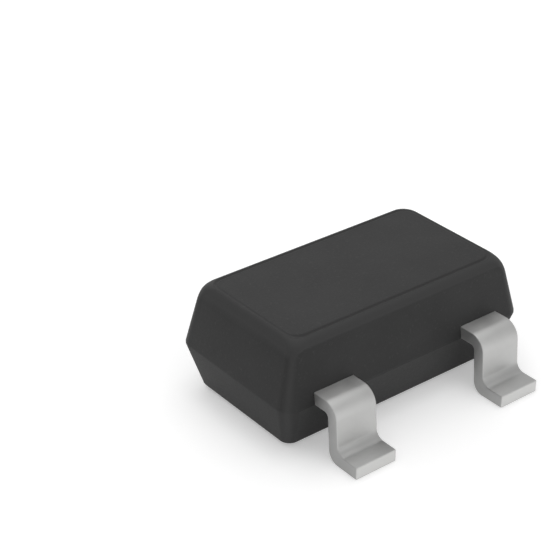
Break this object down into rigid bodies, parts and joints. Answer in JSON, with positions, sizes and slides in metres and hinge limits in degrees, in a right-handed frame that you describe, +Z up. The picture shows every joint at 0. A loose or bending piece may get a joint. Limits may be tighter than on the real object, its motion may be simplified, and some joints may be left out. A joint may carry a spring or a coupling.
{
  "type": "sot-23 transistor",
  "caption": "Small surface-mount transistor: dark moulded block with drafted halves and tin-plated gull-wing leads, holding a wire-bonded chip on a lead frame.",
  "frame": {"origin": "on the seating plane under the solder feet, below the middle of the body", "axes": "+X along the body's length, +Y towards the side with the single lead, +Z up, away from the board"},
  "size_m": [0.003, 0.003, 0.0012],
  "materials": {
    "mould_compound": "fine spark-eroded mould texture, satin matte",
    "tinned_lead": "matte tin plate on copper alloy",
    "die_attach": "dull silver-filled layer",
    "silicon": "polished silicon with aluminium bond pads",
    "bond_gold": "bright drawn gold wire"
  },
  "bodies": {
    "root": {"moulded_body": "mould_compound", "base_lead": "tinned_lead", "emitter_lead": "tinned_lead", "collector_lead": "tinned_lead", "die_attach": "die_attach", "silicon_die": "silicon", "base_bond_wire": "bond_gold", "emitter_bond_wire": "bond_gold"}
  },
  "joints": []
}
